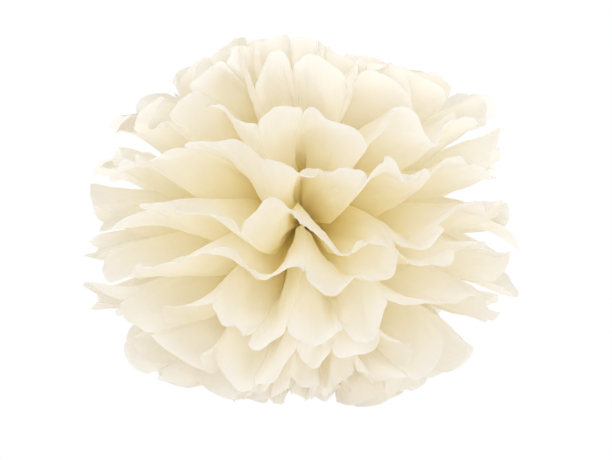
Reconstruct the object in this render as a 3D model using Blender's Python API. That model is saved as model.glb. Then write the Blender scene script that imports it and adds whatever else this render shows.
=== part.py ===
"""Tissue paper pom pom: ten sheets of tissue, folded together like a concertina, tied round the
middle with wire, fanned out to both sides and pulled apart into a ball.

Metres, +Z up. The origin is the middle of the tied waist. The pleats run along Y through the
waist, the folded stack fans out in front (-Y) and behind (+Y), and the sheets part upwards and
downwards from the level of the waist.
"""

import math

import bmesh
import bpy
import numpy as np

# The paper, as it is cut before folding
SHEET_LENGTH = 0.350  # along the pleats, end to end
SHEET_WIDTH = 0.500  # across the pleats
PLEAT_COUNT = 12
SCALLOP_DEPTH = 0.017  # how far the rounded end of a pleat stands out beyond its two folds
PAPER_THICKNESS = 0.0004  # crumpled tissue, modelled thicker than the real 0.03 mm

# The gathered waist under the wire
WAIST_WIDTH = 0.016  # of the outermost sheets; those inside it spread a little wider
WAIST_LENGTH = 0.007
SHEET_GAP = 0.0014  # clear height between one sheet and the next at the waist
SLANT_RUN = 0.010  # how far from the waist a sheet takes to turn into its slant

# How the sheets are fanned and pulled apart, in degrees
SHEET_ELEVATIONS = (-68, -53, -38, -24, -11, 1, 16, 32, 50, 68)  # one for each sheet, upwards
ARCH = 9.0  # how much steeper a sheet leaves the waist than it ends, where it slants at 45
DEEPEST_PLEAT = 18.0  # half a pleat's height, seen from the waist
STEEPEST_RIDGE = 87.0  # no ridge leans further up than this, so that a hollow stays at each pole
AZIMUTH_SPREAD = 1.8  # how far a fold strays sideways by itself
COLUMN_SPREAD = 2.6  # and together with the folds above and below it
END_GAP = 0.0015  # from the free ends' tips to the plane between the two fans, in metres

# How unevenly the paper opens
UNEVENNESS = 0.60  # how far a fold strays towards the next sheet, as a share of half the gap
UNEVENNESS_AT_WAIST = 0.3  # the share of that stray that the folds have where they leave the waist
WAIST_STEEPNESS = 0.9  # height over width of a pleat's side at the waist
TIP_STEEPNESS = 14.0  # and at its tip, where it is free to fold deeper
TIP_OPENING = 0.35  # how much flatter a pleat of a level sheet ends than its width allows
POLE_CRUMPLE = 0.21  # how much shorter the crumpled paper reaches at the poles
SHORTEST_REACH = 0.94  # the share of a fold's length that the most crumpled one has
CUP = 0.0065  # most bulge of a pleat's middle, up or down
CURL = 0.014  # and of its rounded end
SWAY = 0.010  # the whole ball is pressed a little out of shape, this far at its surface
SWAY_LENGTH = 0.17  # from one such bulge to the next
SEED = 34

# The wire
WIRE_DIAMETER = 0.0010
WIRE_CLEARANCE = 0.0003
LOOP_POINTS = 45
LOOP_SQUARENESS = 0.8  # power of the sine and cosine: 1 is an ellipse, less has fuller shoulders
TWIST_LENGTH = 0.015
TWIST_TURNS = 3
POINTS_PER_TURN = 12

ROWS = (0.0, 0.19, 0.44, 0.72, 1.0)  # shares of a pleat's length, waist to tip
STEPS_PER_PLEAT = (1, 1, 2, 2, 4)  # in each of those rows
PAPER_COLOUR = (0.93, 0.87, 0.70, 1.0)
WIRE_COLOUR = (0.70, 0.69, 0.66, 1.0)

SHEET_COUNT = len(SHEET_ELEVATIONS)
PLEAT_WIDTH = SHEET_WIDTH / PLEAT_COUNT
SHEET_PITCH = PAPER_THICKNESS + SHEET_GAP
UP = np.array([0.0, 0.0, 1.0])
FRONT, BACK = 0, 1


def clear_scene():
    for obj in list(bpy.data.objects):
        bpy.data.objects.remove(obj)


def material(name, colour, roughness, metallic):
    made = bpy.data.materials.new(name)
    made.use_nodes = True
    shader = made.node_tree.nodes["Principled BSDF"]
    shader.inputs["Base Color"].default_value = colour
    shader.inputs["Roughness"].default_value = roughness
    shader.inputs["Metallic"].default_value = metallic
    made.diffuse_color = colour
    return made


class Fans:
    """The places of every point of the paper, worked out for whole arrays at once.

    Arrays of folds and pleats are numbered by sheet, by side (front or back) and across it."""

    def __init__(self):
        rng = np.random.default_rng(SEED)
        folds = (SHEET_COUNT, 2, PLEAT_COUNT + 1)
        pleats = (SHEET_COUNT, 2, PLEAT_COUNT)
        level = np.array(SHEET_ELEVATIONS, float)
        gap = np.diff(level)
        stray = UNEVENNESS / 2 * np.minimum(np.append(gap, gap[-1]), np.insert(gap, 0, gap[0]))
        self.level = np.radians(level)
        self.stray = np.radians(stray)[:, None, None] * rng.uniform(-1, 1, folds)
        shift = rng.uniform(-AZIMUTH_SPREAD, AZIMUTH_SPREAD, folds)
        shift += rng.uniform(-COLUMN_SPREAD, COLUMN_SPREAD, folds[1:])
        shift[:, :, [0, -1]] = 0
        self.azimuth_shift = np.radians(shift)
        self.cup = rng.uniform(-CUP, CUP, pleats)
        self.curl = rng.uniform(-CURL, CURL, pleats)
        self.reach = rng.uniform(SHORTEST_REACH, 1, folds)
        self.sway_along = rng.normal(size=(3, 3))
        self.sway_along /= np.linalg.norm(self.sway_along, axis=1, keepdims=True)
        self.sway_phase = rng.uniform(0, 2 * math.pi, 3)

        number = np.arange(SHEET_COUNT)
        self.height = (number - (SHEET_COUNT - 1) / 2) * SHEET_PITCH
        self.bend = np.minimum(number, number[::-1]) * SHEET_PITCH  # level run before the slant
        room = STEEPEST_RIDGE - np.abs(level) - stray
        self.pleat_height = np.radians(np.minimum(DEEPEST_PLEAT, room))
        past_half_turn = (WAIST_LENGTH / 2 - END_GAP) / (SHEET_LENGTH / 2 * np.cos(self.level))
        self.fan_angle = math.pi + 2 * np.arcsin(past_half_turn)

    def leaf(self, sheet, side, s, v):
        """The middle of the paper for pleat place s, from 0 to PLEAT_COUNT, and share of length v,
        with the direction across the paper's fan there.

        Each fold line leaves its place in the waist along its own azimuth and elevation, and a
        pleat between two folds takes their mean. The folds lie half a pleat above and below that
        fan by turns."""
        pleat = np.clip(np.floor(s).astype(int), 0, PLEAT_COUNT - 1)
        u = s - pleat
        bulge = 1 - (2 * u - 1) ** 2

        def between(folds):
            return (1 - u) * folds[pleat] + u * folds[pleat + 1]

        turned = s / PLEAT_COUNT - 0.5
        azimuth = self.fan_angle[sheet] * turned + between(self.azimuth_shift[sheet, side])
        freed = UNEVENNESS_AT_WAIST + (1 - UNEVENNESS_AT_WAIST) * v
        level = self.level[sheet] + between(self.stray[sheet, side]) * freed
        level = level + math.radians(ARCH) * (1 - v) * np.sin(2 * level)
        rounded = SCALLOP_DEPTH * (1 - np.sqrt(np.clip(bulge, 0, 1)))
        length = SHEET_LENGTH / 2 * between(self.reach[sheet, side]) - rounded
        length = length - WAIST_LENGTH / 2 - self.bend[sheet]
        r = v * length * (1 - POLE_CRUMPLE * np.sin(level) ** 2)

        lift = self.pleat_lift(sheet, azimuth, level, r, v) * np.where(pleat % 2, 2 * u - 1, 1 - 2 * u)
        lift = lift + bulge * v**2 * self.cup[sheet, side][pleat]
        lift = lift + bulge * v**4 * self.curl[sheet, side][pleat]

        sign = -1 if side == FRONT else 1
        out = np.stack([np.sin(azimuth), sign * np.cos(azimuth), np.zeros(len(s))], axis=-1)
        slant, lean = level[:, None], (level * np.clip(r / SLANT_RUN, 0.5, 1))[:, None]
        up = UP * np.cos(lean) - out * np.sin(lean)
        raised = np.where(r[:, None] > 0, up, UP) * lift[:, None]
        place = r[:, None] * (out * np.cos(slant) + UP * np.sin(slant)) + raised
        tied = turned[:, None] * [WAIST_WIDTH, 0, 0] + [0, sign * WAIST_LENGTH / 2, self.height[sheet]]
        return self.swayed(tied + out * self.bend[sheet] + place), up

    def pleat_lift(self, sheet, azimuth, level, r, v):
        """Half the height from valley to ridge: what the paper's width leaves over from the
        distance between two folds, as far as the waist and the neighbours give it room."""
        gathered = WAIST_WIDTH + self.bend[sheet] * self.fan_angle[sheet]
        spacing = gathered * np.cos(azimuth).clip(0) + r * np.cos(level) * self.fan_angle[sheet]
        spacing = spacing / PLEAT_COUNT
        spare = np.sqrt(np.clip(PLEAT_WIDTH**2 - spacing**2, 0, None))
        deepest = 2 * r * math.tan(self.pleat_height[sheet]) + WAIST_WIDTH / PLEAT_COUNT
        steepest = (WAIST_STEEPNESS + (TIP_STEEPNESS - WAIST_STEEPNESS) * v**1.3) * spacing
        opened = 1 - TIP_OPENING * math.cos(self.level[sheet]) * v**3
        return np.minimum(np.minimum(spare, deepest), steepest) / 2 * opened

    def swayed(self, points):
        """The points moved by three slow waves, which fade out towards the waist. Neighbours move
        alike, so the sheets stay clear of each other."""
        waves = np.sin(points @ self.sway_along.T * 2 * math.pi / SWAY_LENGTH + self.sway_phase)
        share = (points**2).sum(axis=-1, keepdims=True) / (SHEET_LENGTH / 2) ** 2
        return points + SWAY * share * waves


def band(near, far):
    """The triangles between two rows of point numbers, where far may have twice as many steps.

    The diagonals change direction from one pleat side to the next, alike in every sheet, so that
    nested sheets keep the same facets."""
    faces = []
    if len(near) == len(far):
        for i, (a, b, c, d) in enumerate(zip(near, near[1:], far[1:], far)):
            faces += [(a, b, c), (a, c, d)] if i % 2 else [(a, b, d), (b, c, d)]
        return faces
    for i, (a, b) in enumerate(zip(near, near[1:])):
        left, middle, right = far[2 * i : 2 * i + 3]
        faces += [(a, middle, left), (a, b, middle), (b, right, middle)]
    return faces


def sheet_grid(fans, sheet):
    """The points of one sheet's middle surface from the front tips to the back tips, the direction
    across the paper at each, the point numbers row by row, and the triangles between the rows."""
    points, ups, rows = [], [], []
    order = range(len(ROWS))
    for side, row in [(FRONT, row) for row in reversed(order)] + [(BACK, row) for row in order]:
        s = np.linspace(0, PLEAT_COUNT, PLEAT_COUNT * STEPS_PER_PLEAT[row] + 1)
        place, up = fans.leaf(sheet, side, s, np.full(len(s), ROWS[row]))
        rows.append(list(range(len(points), len(points) + len(s))))
        points += list(place)
        ups += list(up)
    faces = []
    for near, far in zip(rows, rows[1:]):
        if len(near) <= len(far):
            faces += band(near, far)
        else:
            faces += [face[::-1] for face in band(far, near)]
    return np.array(points), np.array(ups), rows, faces


def paper_offset(points, ups, faces):
    """How far to move each point up and down across the fan for the paper's thickness: half of it,
    and more where the pleats are steep, up to a limit."""
    steepness, uses = np.zeros(len(points)), np.zeros(len(points))
    for face in faces:
        a, b, c = points[list(face)]
        normal = np.cross(b - a, c - a)
        normal /= np.linalg.norm(normal)
        for corner in face:
            steepness[corner] += abs(normal @ ups[corner])
            uses[corner] += 1
    return ups * (PAPER_THICKNESS / 2 / np.clip(steepness / uses, 0.4, 1))[:, None]


def tissue_sheet(fans, sheet, paper):
    """One sheet, pleated from edge to edge and running unbroken through the waist: two surfaces
    either side of the paper's middle, closed along the sheet's edge."""
    points, ups, rows, faces = sheet_grid(fans, sheet)
    offset = paper_offset(points, ups, faces)
    bm = bmesh.new()
    above = [bm.verts.new(p) for p in points + offset]
    below = [bm.verts.new(p) for p in points - offset]
    for face in faces:
        bm.faces.new([above[i] for i in face])
        bm.faces.new([below[i] for i in reversed(face)])
    right, left = [row[-1] for row in rows[1:-1]], [row[0] for row in rows[-2:0:-1]]
    edge = rows[0] + right + rows[-1][::-1] + left
    for a, b in zip(edge, edge[1:] + edge[:1]):
        bm.faces.new((above[b], above[a], below[a], below[b]))
    bmesh.ops.recalc_face_normals(bm, faces=bm.faces)
    bmesh.ops.triangulate(bm, faces=bm.faces)
    mesh = bpy.data.meshes.new(f"sheet_{sheet + 1:02d}")
    bm.to_mesh(mesh)
    bm.free()
    mesh.materials.append(paper)
    obj = bpy.data.objects.new(mesh.name, mesh)
    bpy.context.scene.collection.objects.link(obj)
    return obj


def rounded_power(value):
    return np.sign(value) * np.abs(value) ** LOOP_SQUARENESS


def wire_tie(fans, steel):
    """One length of wire: once round the waist, with its two ends twisted together above it.

    The loop is an oval with full shoulders, clear of every sheet it holds together. Its two ends
    meet at the top, turn upwards and wind round each other."""
    standing_off = PAPER_THICKNESS / 2 + WIRE_CLEARANCE + WIRE_DIAMETER / 2
    pleat_height = WAIST_STEEPNESS * WAIST_WIDTH / PLEAT_COUNT
    half_width = WAIST_WIDTH / 2 + fans.bend.max() + standing_off
    half_height = fans.height[-1] + pleat_height + standing_off
    strand = (WIRE_DIAMETER + WIRE_CLEARANCE) / 2  # from the middle of the twist to a strand's middle
    bend = 2 * WIRE_DIAMETER

    first = math.asin((strand + bend) / half_width)
    angle = np.linspace(first, 2 * math.pi - first, LOOP_POINTS)
    x = half_width * rounded_power(np.sin(angle))
    z = half_height * rounded_power(np.cos(angle))
    below_or_beside = (z < 0) | (np.abs(x) > strand + bend)
    loop = np.stack([x, 0 * x, z], axis=-1)[below_or_beside]

    rise = half_height + bend
    turn = np.linspace(0, math.pi / 2, 5)[:-1]
    bent = np.stack([strand + bend * (1 - np.cos(turn)), 0 * turn, rise - bend * np.sin(turn)], axis=-1)
    wind = np.linspace(1, 0, POINTS_PER_TURN * TWIST_TURNS + 1)[:-1]
    angle = 2 * math.pi * TWIST_TURNS * wind
    height = rise + TWIST_LENGTH * wind
    wound = np.stack([strand * np.cos(angle), strand * np.sin(angle), height], axis=-1)
    down = np.concatenate([wound, bent])
    path = np.concatenate([down, loop, down[::-1] * [-1, -1, 1]])

    curve = bpy.data.curves.new("wire_tie", "CURVE")
    curve.dimensions = "3D"
    curve.bevel_depth = WIRE_DIAMETER / 2
    curve.bevel_resolution = 1
    curve.use_fill_caps = True
    spline = curve.splines.new("POLY")
    spline.points.add(len(path) - 1)
    spline.points.foreach_set("co", np.column_stack([path, np.ones(len(path))]).ravel())
    curve.materials.append(steel)
    obj = bpy.data.objects.new("wire_tie", curve)
    bpy.context.scene.collection.objects.link(obj)
    return obj


def main():
    clear_scene()
    paper = material("cream tissue", PAPER_COLOUR, 0.9, 0.0)
    steel = material("florist wire", WIRE_COLOUR, 0.35, 1.0)
    fans = Fans()
    for sheet in range(SHEET_COUNT):
        tissue_sheet(fans, sheet, paper)
    wire_tie(fans, steel)


main()
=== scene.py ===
"""Looks of the tissue paper pom pom: soft pleated sheets, the wire tie, light and camera.

Laid out as an add-on with a panel of sizes and colours, and run as a script. Every sheet of tissue
is a surface on a grid: one parameter runs across its pleats and the other along them.
"""

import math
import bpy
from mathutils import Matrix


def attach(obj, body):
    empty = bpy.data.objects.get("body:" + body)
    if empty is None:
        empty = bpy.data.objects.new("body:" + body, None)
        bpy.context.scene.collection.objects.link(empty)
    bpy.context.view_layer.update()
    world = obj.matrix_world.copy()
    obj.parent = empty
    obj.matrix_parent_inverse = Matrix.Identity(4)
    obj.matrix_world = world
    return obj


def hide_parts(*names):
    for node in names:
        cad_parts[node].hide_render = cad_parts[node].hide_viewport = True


bl_info = {
    "name": "Tissue Paper Pom Pom",
    "version": (1, 0, 0),
    "blender": (4, 5, 0),
    "location": "View3D > Sidebar > Pom Pom",
    "description": "Builds a hanging ball of pleated tissue paper, tied round the middle with wire",
    "category": "Add Mesh",
}

import bpy
import numpy as np
from bpy.props import FloatProperty, FloatVectorProperty, IntProperty, PointerProperty
from mathutils import Vector

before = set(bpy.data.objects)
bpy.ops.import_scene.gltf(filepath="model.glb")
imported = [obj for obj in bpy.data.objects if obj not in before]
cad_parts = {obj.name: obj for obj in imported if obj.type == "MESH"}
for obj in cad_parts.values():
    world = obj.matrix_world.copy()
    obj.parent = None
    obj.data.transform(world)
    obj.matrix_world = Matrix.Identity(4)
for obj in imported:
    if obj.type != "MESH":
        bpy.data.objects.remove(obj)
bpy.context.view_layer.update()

UP = np.array([0.0, 0.0, 1.0])
FRONT, BACK = 0, 1

# Elevation of each sheet's fan in degrees, from the lowest sheet to the highest
SHEET_ELEVATIONS = (-68, -53, -38, -24, -11, 1, 16, 32, 50, 68)
SHEET_COUNT = len(SHEET_ELEVATIONS)


class PomPomPaper(bpy.types.PropertyGroup):
    """Sizes and colours of the tissue paper."""

    sheet_length: FloatProperty(
        name="Sheet length",
        description="Along the pleats, end to end",
        default=0.350,
        unit="LENGTH",
    )
    sheet_width: FloatProperty(
        name="Sheet width", description="Across the pleats", default=0.500, unit="LENGTH"
    )
    pleat_count: IntProperty(
        name="Pleats", description="Pleats across one sheet", default=12, min=4
    )
    scallop_depth: FloatProperty(
        name="Scallop depth",
        description="How far the rounded end of a pleat stands out beyond its two folds",
        default=0.017,
        unit="LENGTH",
    )
    spacing: FloatProperty(
        name="Sheet spacing",
        description="From one sheet to the next in the tied waist",
        default=0.0018,
        unit="LENGTH",
    )
    waist_width: FloatProperty(
        name="Waist width",
        description="Of the outermost sheets where they are tied",
        default=0.016,
        unit="LENGTH",
    )
    waist_length: FloatProperty(
        name="Waist length", description="Straight run under the wire", default=0.007, unit="LENGTH"
    )
    end_gap: FloatProperty(
        name="End gap",
        description="From the free ends of a fan to the plane between the two fans",
        default=0.0007,
        unit="LENGTH",
    )
    tip_colour: FloatVectorProperty(
        name="Tip colour",
        description="Single layers near the tips",
        default=(0.958, 0.934, 0.885),
        size=3,
        subtype="COLOR",
    )
    # Painted shade, not the paper's own colour: the deeper, warmer yellow of the shaded crevices
    # near the waist
    heart_painted_shade: FloatVectorProperty(
        name="Heart colour",
        description="Layers lying close together near the waist",
        default=(0.992, 0.960, 0.80),
        size=3,
        subtype="COLOR",
    )
    glow_share: FloatProperty(
        name="Glow share",
        description="Share of the light that passes through the paper",
        default=0.78,
        min=0,
        max=1,
        subtype="FACTOR",
    )


class PomPomWire(bpy.types.PropertyGroup):
    """Colour of the wire tie, whose shape is its solid's."""

    colour: FloatVectorProperty(
        name="Wire colour",
        description="Plain steel",
        default=(0.50, 0.49, 0.46),
        size=3,
        subtype="COLOR",
    )


class PomPomStage(bpy.types.PropertyGroup):
    """Floor, light and camera."""

    floor_drop: FloatProperty(
        name="Floor drop",
        description="From the tied waist down to the floor",
        default=1.1,
        unit="LENGTH",
    )
    floor_width: FloatProperty(
        name="Floor width", description="Of the square floor", default=12.0, unit="LENGTH"
    )
    distance: FloatProperty(
        name="Camera distance",
        description="From the waist to the camera",
        default=1.9,
        unit="LENGTH",
    )
    view_width: FloatProperty(
        name="View width",
        description="Width of the view at the waist",
        default=0.472,
        unit="LENGTH",
    )
    camera_rise: FloatProperty(
        name="Camera rise",
        description="Angle of the camera above the waist",
        default=math.radians(2),
        unit="ROTATION",
    )
    floor_colour: FloatVectorProperty(
        name="Floor colour",
        description="Pale floor",
        default=(0.9, 0.9, 0.9),
        size=3,
        subtype="COLOR",
    )


class Fans:
    """Where every point of the tissue lies, worked out for whole arrays at once.

    The main folds are the solids' own, with the same seed, so that each soft sheet lies in the
    place of its solid. The soft paper adds finer folds, creases and curled tips."""

    seed = 34
    uneven = 0.60  # how far a fold strays towards the next sheet, as a share of half the gap
    stray_at_waist = 0.3  # share of that stray which a fold has already at the waist
    azimuth_spread = 1.8  # degrees that a fold strays sideways by itself
    column_spread = 2.6  # degrees that it strays together with the folds above and below it
    shortest_reach = 0.94  # of the half sheet, which the most uneven fold still reaches
    cup_depth = 0.0065
    curl_depth = 0.014
    rounding = (1.2, 0.2)  # a ridge rounds off by this much per share of length, less the second
    sway = 0.010
    sway_length = 0.17
    sway_waves = 3
    arch = math.radians(9)
    deepest = math.radians(18)  # half a pleat's height, seen from the waist
    steepest_ridge = math.radians(87)  # no ridge leans further up than this
    waist_steepness = 1.2
    steepness_gain = 220.0  # per metre from the waist
    tip_opening = 0.35  # how much flatter a pleat of a level sheet ends than its width allows
    pole_crumple = 0.21
    upright_radius = 0.010  # nearer to the waist than this, the pleats stand more upright
    least_lean = 0.5

    # The soft paper's own looseness and relief
    loose_tip = (3.2, 1.8)  # degrees that a fold strays further, sideways and upwards
    twisted_tip = 0.009
    crease_height = 0.0015
    crumple_height = 0.0016
    wrinkle_height = 0.0013
    flutter_height = 0.0010
    steep_crumple = 2.2  # how much more an upright sheet is crumpled than a level one
    smooth_beside = 0.35  # how far from a fold the relief fades, from 0 to 1 at a pleat's middle
    # Waves of the crumple: weight, waves to a pleat, slant and angle run through along the leaf
    crumple_waves = ((1.0, 0.83, 2.0, 9.0), (0.7, 1.31, -3.0, 14.0), (0.5, 0.47, 0.0, 23.0))
    phase_count = 12

    def __init__(self, paper):
        self.paper = paper
        rng = np.random.default_rng(self.seed)
        level = np.array(SHEET_ELEVATIONS, float)
        gap = np.diff(level)
        stray = self.uneven / 2 * np.minimum(np.append(gap, gap[-1]), np.insert(gap, 0, gap[0]))
        folds = (SHEET_COUNT, 2, paper.pleat_count + 1)
        pleats = (SHEET_COUNT, 2, paper.pleat_count)
        self.level = np.radians(level)
        self.stray = np.radians(stray)[:, None, None] * rng.uniform(-1, 1, folds)
        self.azimuth_shift = rng.uniform(-self.azimuth_spread, self.azimuth_spread, folds)
        self.azimuth_shift += rng.uniform(-self.column_spread, self.column_spread, folds[1:])
        self.azimuth_shift[:, :, [0, -1]] = 0
        self.cup = rng.uniform(-self.cup_depth, self.cup_depth, pleats)
        self.curl = rng.uniform(-self.curl_depth, self.curl_depth, pleats)
        self.reach = rng.uniform(self.shortest_reach, 1.0, folds)
        self.sway_along = rng.normal(size=(self.sway_waves, 3))
        self.sway_along /= np.linalg.norm(self.sway_along, axis=1, keepdims=True)
        self.sway_phase = rng.uniform(0, 2 * math.pi, self.sway_waves)
        self.height = (np.arange(SHEET_COUNT) - (SHEET_COUNT - 1) / 2) * paper.spacing
        outside = np.minimum(np.arange(SHEET_COUNT), np.arange(SHEET_COUNT)[::-1])
        self.bend = outside * paper.spacing
        half_length = paper.sheet_length / 2
        ends = (paper.waist_length / 2 - paper.end_gap) / (half_length * np.cos(self.level))
        self.fan_angle = math.pi + 2 * np.arcsin(ends)
        room = self.steepest_ridge - np.abs(self.level) - np.radians(stray)
        self.pleat_height = np.minimum(self.deepest, room)
        self.phase = rng.uniform(0, 2 * math.pi, (SHEET_COUNT, 2, self.phase_count))
        self.loose = rng.uniform(-1, 1, (2, *folds)) * np.reshape(self.loose_tip, (2, 1, 1, 1))
        self.loose[..., [0, -1]] = 0
        self.twist = rng.uniform(-self.twisted_tip, self.twisted_tip, pleats)

    def leaf(self, sheet, side, s, v):
        """Points of one fan of one sheet, for pleat place s from 0 to the pleat count and share of
        length v from 0 at the waist to 1 at the tip.

        A point lies out from the waist along its fold's azimuth and elevation. Half a pleat's
        height is added above or below the fan, the pleat's middle is bulged by its cup, and its
        tip by its curl and its twist."""
        paper = self.paper
        pleats = paper.pleat_count
        j = np.clip(np.floor(s).astype(int), 0, pleats - 1)
        u = s - j
        across = 2 * u - 1
        bulge = 1 - across**2
        sharp = np.where(j % 2 == 0, -across, across)
        rounded_off = np.clip(self.rounding[0] * v - self.rounding[1], 0, 1)
        ridge = sharp + (np.sin(math.pi / 2 * sharp) - sharp) * rounded_off

        def between(folds):
            return (1 - u) * folds[j] + u * folds[j + 1]

        fan_angle = self.fan_angle[sheet]
        azimuth = fan_angle * (s / pleats - 0.5)
        azimuth = azimuth + np.radians(between(self.azimuth_shift[sheet, side]))
        azimuth = azimuth + np.radians(between(self.loose[0, sheet, side])) * v**2
        strayed = self.stray_at_waist + (1 - self.stray_at_waist) * v
        level = self.level[sheet] + between(self.stray[sheet, side]) * strayed
        level = level + np.radians(between(self.loose[1, sheet, side])) * v**2
        level = level + self.arch * (1 - v) * np.sin(2 * level)
        rounded = paper.scallop_depth * (1 - np.sqrt(np.clip(bulge, 0, 1)))
        r = paper.sheet_length / 2 * between(self.reach[sheet, side]) - rounded
        r = r - paper.waist_length / 2 - self.bend[sheet]
        r = v * r * (1 - self.pole_crumple * np.sin(level) ** 2)

        pleat_width = paper.sheet_width / pleats
        spacing = (paper.waist_width + self.bend[sheet] * fan_angle) * np.cos(azimuth).clip(0)
        spacing = (spacing + r * np.cos(level) * fan_angle) / pleats
        spare = np.sqrt(np.clip(pleat_width**2 - spacing**2, 0, None))
        deepest = 2 * r * np.tan(self.pleat_height[sheet]) + paper.waist_width / pleats
        steepest = (self.waist_steepness + self.steepness_gain * r) * spacing
        opened = 1 - self.tip_opening * math.cos(self.level[sheet]) * v**3
        lift = np.minimum(np.minimum(spare, deepest), steepest) / 2 * ridge * opened
        lift = lift + bulge * v**2 * self.cup[sheet, side][j]
        lift = lift + bulge * v**4 * self.curl[sheet, side][j]
        lift = lift + bulge * across * v**3 * self.twist[sheet, side][j]

        sign = -1 if side == FRONT else 1
        out = np.stack([np.sin(azimuth), np.cos(azimuth) * sign, 0 * azimuth], axis=-1)
        lean = (level * np.clip(r / self.upright_radius, self.least_lean, 1))[..., None]
        up = UP * np.cos(lean) - out * np.sin(lean)
        raised = np.where(r[..., None] > 0, up, UP) * lift[..., None]
        place = r[..., None] * (out * np.cos(level)[..., None] + UP * np.sin(level)[..., None])
        tied = (s / pleats - 0.5)[..., None] * np.array([paper.waist_width, 0, 0])
        tied = tied + np.array([0, sign * paper.waist_length / 2, self.height[sheet]])
        return self.swayed(tied + out * self.bend[sheet] + place + raised)

    def swayed(self, points):
        """The points moved by three slow waves, which fade out towards the waist."""
        turns = points @ self.sway_along.T * 2 * math.pi / self.sway_length
        waves = np.sin(turns + self.sway_phase)
        share = (points**2).sum(axis=-1, keepdims=True) / (self.paper.sheet_length / 2) ** 2
        return points + self.sway * share * waves

    def relief(self, sheet, side, s, v):
        """Fine creases that run out from the waist and soften towards the tips, a broad crumple and
        thin wrinkles over the whole leaf, and a flutter of its cut edge. It is a height along the
        paper's normals, and it fades beside the folds, where two flanks face each other."""
        phase = self.phase[sheet, side]
        turn = 2 * math.pi
        crumpled = 1 + self.steep_crumple * np.sin(self.level[sheet]) ** 2
        crease = np.arcsin(np.sin(turn * 1.4 * s + 1.5 * np.sin(3 * v + phase[0]) + phase[1]))
        crease = crease + 0.7 * np.arcsin(np.sin(turn * 2.6 * s - 2.0 * v + phase[2]))
        crease = crease * np.clip(v / 0.25, 0, 1) * (1 - v) ** 1.2 * crumpled
        broad = 0
        for wave, (weight, per_pleat, slant, along) in enumerate(self.crumple_waves):
            first, second = phase[3 + 2 * wave], phase[4 + 2 * wave]
            across = np.sin(turn * per_pleat * s + first + slant * v)
            broad = broad + weight * across * np.sin(along * v + second)
        bent = 1.4 * np.sin(5.0 * v + phase[9])
        wrinkle = (1 - np.abs(np.sin(turn * 1.55 * s + bent + phase[10]))) ** 2
        wrinkle = wrinkle * np.sin(turn * 0.61 * s + phase[11] + 4.0 * v)
        flutter = np.sin(turn * 1.9 * s + 3.0 * phase[9]) * v**6
        height = crease * self.crease_height + broad * v * crumpled * self.crumple_height
        height = height + wrinkle * np.sqrt(v) * self.wrinkle_height + flutter * self.flutter_height
        beside = np.clip(4 * (s % 1) * (1 - s % 1) / self.smooth_beside, 0, 1)
        return height * beside**2 * (3 - 2 * beside)


def grid_faces(rows, columns):
    """Corner numbers of the quads of a grid, row by row."""
    first = (np.arange(rows - 1)[:, None] * columns + np.arange(columns - 1)).ravel()
    return np.stack([first, first + 1, first + columns + 1, first + columns], axis=-1)


def grid_normals(points):
    """Unit normals of a grid of points, from its steps along and across."""
    along = np.gradient(points, axis=0)
    across = np.gradient(points, axis=1)
    normals = np.cross(across, along)
    return normals / np.maximum(np.linalg.norm(normals, axis=-1, keepdims=True), 1e-12)


def paper_sheet(name, points, places, material):
    """A smooth single surface through a grid of points, open along the paper's cut edges.

    places holds the grid's pleat place and share of length, which the material reads as a map and
    an attribute."""
    rows, columns = points.shape[:2]
    quads = grid_faces(rows, columns)
    mesh = bpy.data.meshes.new(name)
    mesh.vertices.add(rows * columns)
    mesh.vertices.foreach_set("co", points.ravel())
    mesh.loops.add(quads.size)
    mesh.loops.foreach_set("vertex_index", quads.ravel())
    mesh.polygons.add(len(quads))
    mesh.polygons.foreach_set("loop_start", np.arange(0, quads.size, 4))
    mesh.polygons.foreach_set("use_smooth", np.ones(len(quads), bool))
    places = places.reshape(-1, 2)
    pleat_map = mesh.uv_layers.new(name="pleats")
    pleat_map.data.foreach_set("uv", places[quads.ravel()].astype(np.float32).ravel())
    along = mesh.attributes.new("along", "FLOAT", "POINT")
    along.data.foreach_set("value", places[:, 1].astype(np.float32))
    mesh.update(calc_edges=True)
    mesh.validate()
    mesh.materials.append(material)
    piece = bpy.data.objects.new(name, mesh)
    bpy.context.scene.collection.objects.link(piece)
    return piece


def new_material(name):
    """A new material with an empty node tree, and the tree's nodes and links."""
    made = bpy.data.materials.new(name)
    made.use_nodes = True
    made.node_tree.nodes.clear()
    return made, made.node_tree.nodes, made.node_tree.links


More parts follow.
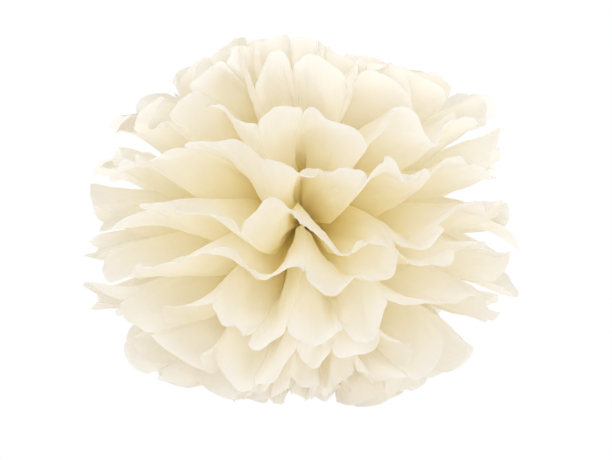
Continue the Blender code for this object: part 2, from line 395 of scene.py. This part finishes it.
def tissue_material(paper):
    """Thin matte tissue: light both bounces off it and glows through it. Its colour deepens towards
    the waist as painted shade of the crevices there, with faint fibres along the pleats."""
    made, nodes, links = new_material("cream tissue")
    along = nodes.new("ShaderNodeAttribute")
    along.attribute_name = "along"
    # Painted shade: the colour runs from the painted crevice shade near the waist to the paper's
    # own tip colour at the tips
    ramp = nodes.new("ShaderNodeValToRGB")
    ramp.color_ramp.elements[0].position = 0.30
    ramp.color_ramp.elements[0].color = (*paper.heart_painted_shade, 1)
    ramp.color_ramp.elements[1].position = 1.0
    ramp.color_ramp.elements[1].color = (*paper.tip_colour, 1)
    links.new(along.outputs["Fac"], ramp.inputs["Fac"])

    pleat_map = nodes.new("ShaderNodeUVMap")
    pleat_map.uv_map = "pleats"
    stretch = nodes.new("ShaderNodeMapping")
    stretch.inputs["Scale"].default_value = (9, 3, 1)
    links.new(pleat_map.outputs["UV"], stretch.inputs["Vector"])
    fibres = nodes.new("ShaderNodeTexNoise")
    fibres.inputs["Scale"].default_value = 3.0
    fibres.inputs["Detail"].default_value = 6.0
    fibres.inputs["Roughness"].default_value = 0.65
    links.new(stretch.outputs["Vector"], fibres.inputs["Vector"])
    bump = nodes.new("ShaderNodeBump")
    bump.inputs["Strength"].default_value = 0.35
    bump.inputs["Distance"].default_value = 0.0012
    links.new(fibres.outputs["Fac"], bump.inputs["Height"])

    tone = nodes.new("ShaderNodeMapRange")
    tone.inputs["To Min"].default_value = 0.985
    tone.inputs["To Max"].default_value = 1.015
    links.new(fibres.outputs["Fac"], tone.inputs["Value"])
    colour = nodes.new("ShaderNodeVectorMath")
    colour.operation = "SCALE"
    links.new(ramp.outputs["Color"], colour.inputs[0])
    links.new(tone.outputs["Result"], colour.inputs["Scale"])

    surface = nodes.new("ShaderNodeBsdfPrincipled")
    surface.inputs["Roughness"].default_value = 0.85
    surface.inputs["Specular IOR Level"].default_value = 0.15
    links.new(colour.outputs["Vector"], surface.inputs["Base Color"])
    links.new(bump.outputs["Normal"], surface.inputs["Normal"])
    glow = nodes.new("ShaderNodeBsdfTranslucent")
    links.new(colour.outputs["Vector"], glow.inputs["Color"])
    links.new(bump.outputs["Normal"], glow.inputs["Normal"])
    mix = nodes.new("ShaderNodeMixShader")
    mix.inputs["Fac"].default_value = paper.glow_share
    links.new(surface.outputs["BSDF"], mix.inputs[1])
    links.new(glow.outputs["BSDF"], mix.inputs[2])
    output = nodes.new("ShaderNodeOutputMaterial")
    links.new(mix.outputs["Shader"], output.inputs["Surface"])
    return made


def wire_material(wire):
    """Plain drawn steel wire with a faint fine grain bumped into it."""
    made, nodes, links = new_material("florist wire")
    place = nodes.new("ShaderNodeTexCoord")
    grain = nodes.new("ShaderNodeTexNoise")
    grain.inputs["Scale"].default_value = 900.0
    links.new(place.outputs["Object"], grain.inputs["Vector"])
    bump = nodes.new("ShaderNodeBump")
    bump.inputs["Strength"].default_value = 0.2
    bump.inputs["Distance"].default_value = 0.0001
    links.new(grain.outputs["Fac"], bump.inputs["Height"])
    surface = nodes.new("ShaderNodeBsdfPrincipled")
    surface.inputs["Base Color"].default_value = (*wire.colour, 1)
    surface.inputs["Metallic"].default_value = 1.0
    surface.inputs["Roughness"].default_value = 0.45
    links.new(bump.outputs["Normal"], surface.inputs["Normal"])
    output = nodes.new("ShaderNodeOutputMaterial")
    links.new(surface.outputs["BSDF"], output.inputs["Surface"])
    return made


class POMPOM_OT_tissue_sheets(bpy.types.Operator):
    """Fold, fan out and pull apart the sheets of tissue"""

    bl_idname = "pompom.tissue_sheets"
    bl_label = "Tissue Sheets"

    places_per_pleat = 28
    rows_per_fan = 48
    back_fibres = 0.37  # pleats by which the back fan's fibres are shifted from the front fan's

    def execute(self, context):
        paper = context.scene.pompom_paper
        fans = Fans(paper)
        material = tissue_material(paper)
        angles = np.linspace(0, math.pi, self.places_per_pleat, endpoint=False)
        u = (1 - np.cos(angles)) / 2
        s = np.append((np.arange(paper.pleat_count)[:, None] + u).ravel(), paper.pleat_count)
        v = np.linspace(0, 1, self.rows_per_fan)
        for sheet in range(SHEET_COUNT):
            across, share = np.meshgrid(s, v)
            front = fans.leaf(sheet, FRONT, across, share)[::-1]
            back = fans.leaf(sheet, BACK, across, share)
            points = np.concatenate([front, back])
            front = fans.relief(sheet, FRONT, across, share)[::-1]
            back = fans.relief(sheet, BACK, across, share)
            points = points + grid_normals(points) * np.concatenate([front, back])[..., None]
            pleat_places = np.concatenate([across, across + self.back_fibres])
            places = np.stack([pleat_places, np.concatenate([share[::-1], share])], axis=-1)
            name = f"tissue_{sheet + 1:02d}"
            piece = paper_sheet(name, points, places, material)
            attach(piece, "root")
            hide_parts(f"sheet_{sheet + 1:02d}")
        return {"FINISHED"}


class POMPOM_OT_wire_tie(bpy.types.Operator):
    """Finish the wire that ties the waist"""

    bl_idname = "pompom.wire_tie"
    bl_label = "Wire Tie"

    def execute(self, context):
        material = wire_material(context.scene.pompom_wire)
        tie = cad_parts["wire_tie"]
        for slot in tie.material_slots:
            slot.material = material
        return {"FINISHED"}


# Round soft lamps: name, place, width in metres and power in watts
LAMPS = (
    ("front lamp", (0.1, -1.95, -0.1), 0.9, 10),
    ("key lamp", (-0.9, -1.7, 1.5), 1.6, 6),
    ("fill lamp", (1.6, -1.4, -0.3), 1.6, 4),
    ("back lamp", (0.3, 1.8, 1.2), 1.6, 8),
)


def area_lamp(name, place, width, power):
    """A round soft lamp of a given width in metres and power in watts, turned to the waist."""
    data = bpy.data.lights.new(name, "AREA")
    data.shape = "DISK"
    data.size = width
    data.energy = power
    lamp = bpy.data.objects.new(name, data)
    lamp.location = place
    lamp.rotation_euler = (-Vector(place)).to_track_quat("-Z", "Y").to_euler()
    bpy.context.scene.collection.objects.link(lamp)


class POMPOM_OT_stage(bpy.types.Operator):
    """Set the pale floor, the soft light and the camera"""

    bl_idname = "pompom.stage"
    bl_label = "Stage"

    floor_glow = 0.45  # what the floor adds to its own colour where it is seen
    room_light = 0.63
    aim = (0.004, 0.0, -0.004)  # middle of the ball as it is seen

    def execute(self, context):
        stage = context.scene.pompom_stage
        self.floor(stage)
        self.world(context.scene)
        for lamp in LAMPS:
            area_lamp(*lamp)
        self.camera(context.scene, stage)
        context.scene.view_settings.view_transform = "Standard"
        # Light goes through many thin sheets before it leaves the ball
        context.scene.cycles.max_bounces = 32
        context.scene.cycles.diffuse_bounces = 16
        context.scene.cycles.transmission_bounces = 32
        return {"FINISHED"}

    def floor(self, stage):
        """A wide pale floor far below the hanging ball."""
        half = stage.floor_width / 2
        mesh = bpy.data.meshes.new("floor")
        corners = [(-half, -half), (half, -half), (half, half), (-half, half)]
        corners = [(x, y, -stage.floor_drop) for x, y in corners]
        mesh.from_pydata(corners, [], [(0, 1, 2, 3)])
        made, nodes, links = new_material("pale floor")
        matte = nodes.new("ShaderNodeBsdfDiffuse")
        matte.inputs["Color"].default_value = (*stage.floor_colour, 1)
        glow = nodes.new("ShaderNodeEmission")
        glow.inputs["Color"].default_value = (1, 1, 1, 1)
        seen = self.seen_rays(nodes, links)
        strength = nodes.new("ShaderNodeMath")
        strength.operation = "MULTIPLY"
        strength.inputs[1].default_value = self.floor_glow
        links.new(seen, strength.inputs[0])
        links.new(strength.outputs["Value"], glow.inputs["Strength"])
        both = nodes.new("ShaderNodeAddShader")
        links.new(matte.outputs["BSDF"], both.inputs[0])
        links.new(glow.outputs["Emission"], both.inputs[1])
        output = nodes.new("ShaderNodeOutputMaterial")
        links.new(both.outputs["Shader"], output.inputs["Surface"])
        mesh.materials.append(made)
        floor = bpy.data.objects.new("floor", mesh)
        bpy.context.scene.collection.objects.link(floor)

    def seen_rays(self, nodes, links):
        """1 for rays that show the background itself: straight, mirrored or through glass."""
        path = nodes.new("ShaderNodeLightPath")
        first = nodes.new("ShaderNodeMath")
        first.operation = "MAXIMUM"
        links.new(path.outputs["Is Camera Ray"], first.inputs[0])
        links.new(path.outputs["Is Glossy Ray"], first.inputs[1])
        second = nodes.new("ShaderNodeMath")
        second.operation = "MAXIMUM"
        links.new(first.outputs["Value"], second.inputs[0])
        links.new(path.outputs["Is Transmission Ray"], second.inputs[1])
        return second.outputs["Value"]

    def world(self, scene):
        """White where it is seen, and a soft even light on the paper."""
        world = bpy.data.worlds.new("soft room")
        scene.world = world
        world.use_nodes = True
        nodes, links = world.node_tree.nodes, world.node_tree.links
        nodes.clear()
        light = nodes.new("ShaderNodeBackground")
        light.inputs["Color"].default_value = (1.0, 0.99, 0.97, 1)
        light.inputs["Strength"].default_value = self.room_light
        seen = nodes.new("ShaderNodeBackground")
        seen.inputs["Color"].default_value = (1, 1, 1, 1)
        seen.inputs["Strength"].default_value = 1.0
        mix = nodes.new("ShaderNodeMixShader")
        links.new(self.seen_rays(nodes, links), mix.inputs["Fac"])
        links.new(light.outputs["Background"], mix.inputs[1])
        links.new(seen.outputs["Background"], mix.inputs[2])
        output = nodes.new("ShaderNodeOutputWorld")
        links.new(mix.outputs["Shader"], output.inputs["Surface"])

    def camera(self, scene, stage):
        """A long lens level with the waist, looking along +Y at the front fans."""
        data = bpy.data.cameras.new("camera")
        data.sensor_width = 36.0
        data.lens = data.sensor_width * stage.distance / stage.view_width
        camera = bpy.data.objects.new("camera", data)
        target = Vector(self.aim)
        away = Vector((0, -math.cos(stage.camera_rise), math.sin(stage.camera_rise)))
        camera.location = target + away * stage.distance
        camera.rotation_euler = (-away).to_track_quat("-Z", "Y").to_euler()
        bpy.context.scene.collection.objects.link(camera)
        scene.camera = camera


class POMPOM_PT_sidebar(bpy.types.Panel):
    """Sizes and colours of the pom pom, and a button for each of its pieces"""

    bl_idname = "POMPOM_PT_sidebar"
    bl_label = "Tissue Paper Pom Pom"
    bl_space_type = "VIEW_3D"
    bl_region_type = "UI"
    bl_category = "Pom Pom"

    def draw(self, context):
        scene = context.scene
        for settings, operator in (
            (scene.pompom_paper, POMPOM_OT_tissue_sheets),
            (scene.pompom_wire, POMPOM_OT_wire_tie),
            (scene.pompom_stage, POMPOM_OT_stage),
        ):
            box = self.layout.box()
            for name in settings.__annotations__:
                box.prop(settings, name)
            box.operator(operator.bl_idname)


CLASSES = (
    PomPomPaper,
    PomPomWire,
    PomPomStage,
    POMPOM_OT_tissue_sheets,
    POMPOM_OT_wire_tie,
    POMPOM_OT_stage,
    POMPOM_PT_sidebar,
)


def register():
    """Add the panel, its buttons and the settings that they read."""
    for made in CLASSES:
        bpy.utils.register_class(made)
    bpy.types.Scene.pompom_paper = PointerProperty(type=PomPomPaper)
    bpy.types.Scene.pompom_wire = PointerProperty(type=PomPomWire)
    bpy.types.Scene.pompom_stage = PointerProperty(type=PomPomStage)


def unregister():
    """Take the settings, the buttons and the panel out again."""
    del bpy.types.Scene.pompom_stage
    del bpy.types.Scene.pompom_wire
    del bpy.types.Scene.pompom_paper
    for made in reversed(CLASSES):
        bpy.utils.unregister_class(made)


def main():
    register()
    bpy.ops.pompom.tissue_sheets()
    bpy.ops.pompom.wire_tie()
    bpy.ops.pompom.stage()


if __name__ == "__main__":
    main()
